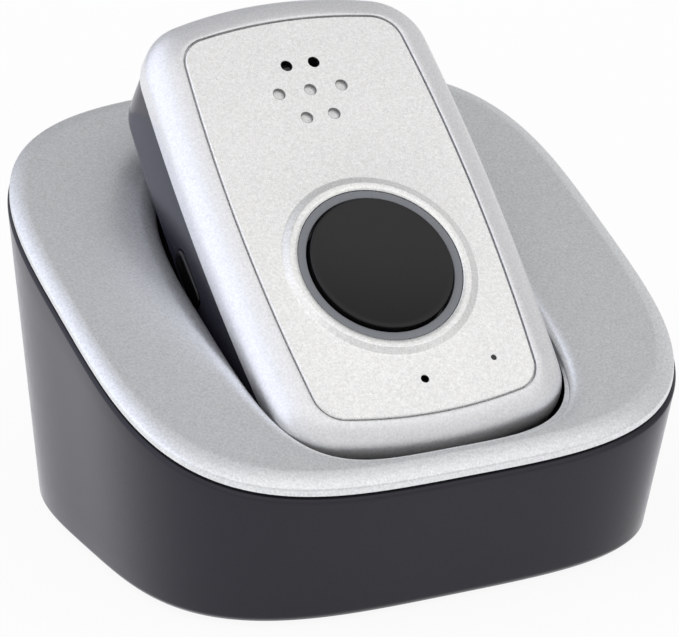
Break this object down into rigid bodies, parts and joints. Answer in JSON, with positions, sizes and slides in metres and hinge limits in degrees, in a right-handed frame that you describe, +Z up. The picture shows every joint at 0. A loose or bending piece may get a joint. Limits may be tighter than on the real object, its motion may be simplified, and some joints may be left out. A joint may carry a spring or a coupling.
{
  "type": "mobile medical alert pendant with charging cradle",
  "caption": "Rounded alert pendant with a large round call button, leaning in the sloping pocket of a squarish charging cradle with a silver top.",
  "frame": {"origin": "on the table, under the middle of the cradle", "axes": "+X to the right, +Y to the back, +Z up; the pendant's face looks to the front and up"},
  "size_m": [0.0884, 0.0822, 0.072],
  "materials": {
    "silver_paint": "moulded plastic with a fine metallic silver paint, satin",
    "silver_bezel": "moulded plastic with a bright silver paint, satin",
    "face_silver": "silver panel with a fine mottled metallic grain",
    "charcoal_plastic": "charcoal plastic with a fine moulded grain, satin",
    "black_plastic": "black moulded plastic, matte",
    "button_black": "black moulded plastic with a soft matte touch",
    "light_ring": "blue-grey translucent plastic, smooth",
    "foot_rubber": "black rubber, matte",
    "screw_steel": "zinc-plated steel",
    "gold_plate": "gold-plated brass, bright",
    "plated_steel": "tin-plated steel",
    "circuit_board": "green solder mask on glass-fibre board",
    "nylon": "natural nylon",
    "wire_red": "red wire insulation",
    "battery_foil": "silver pouch foil",
    "light_pipe": "clear acrylic",
    "ceramic": "tan ceramic"
  },
  "bodies": {
    "cradle": {"cradle_base_shell": "charcoal_plastic", "cradle_top_cover": "silver_paint", "pocket_liner": "black_plastic", "cradle_bottom_plate": "black_plastic", "rubber_feet": "foot_rubber", "bottom_screws": "screw_steel", "contact_board": "circuit_board", "contact_barrels": "gold_plate", "jack_board": "circuit_board", "power_jack": "black_plastic", "jack_pin": "plated_steel", "lead_headers": "nylon", "charger_lead": "wire_red", "board_screws": "screw_steel"},
    "contacts": {"contact_plungers": "gold_plate"},
    "pendant": {"front_bezel": "silver_bezel", "face_panel": "face_silver", "light_ring": "light_ring", "inner_frame": "black_plastic", "rear_case": "charcoal_plastic", "back_cover": "charcoal_plastic", "case_seal": "foot_rubber", "case_screws": "screw_steel", "charge_pads": "gold_plate", "main_board": "circuit_board", "battery": "battery_foil", "speaker": "plated_steel", "speaker_gasket": "foot_rubber", "microphone": "plated_steel", "microphone_boot": "foot_rubber", "status_light_pipe": "light_pipe", "status_led": "light_pipe", "button_switch": "black_plastic", "side_switch": "black_plastic", "module_shield": "plated_steel", "satellite_antenna": "ceramic", "cellular_antenna": "gold_plate"},
    "call_button": {"call_button": "button_black", "switch_plunger": "nylon"},
    "side_key": {"side_key": "button_black"}
  },
  "joints": [
    {"name": "pendant_lift", "type": "slide", "parent": "cradle", "child": "pendant", "axis": [0, 0.7513, 0.66], "range_m": [0, 0.06]},
    {"name": "call_press", "type": "slide", "parent": "pendant", "child": "call_button", "axis": [0, 0.66, -0.7513], "range_m": [0, 0.0007], "stiffness_N_per_m": 3000},
    {"name": "side_press", "type": "slide", "parent": "pendant", "child": "side_key", "axis": [1, 0, 0], "range_m": [0, 0.0004], "stiffness_N_per_m": 3000},
    {"name": "contact_press", "type": "slide", "parent": "cradle", "child": "contacts", "axis": [0, 0.66, -0.7513], "range_m": [0, 0.0009], "stiffness_N_per_m": 1500}
  ]
}
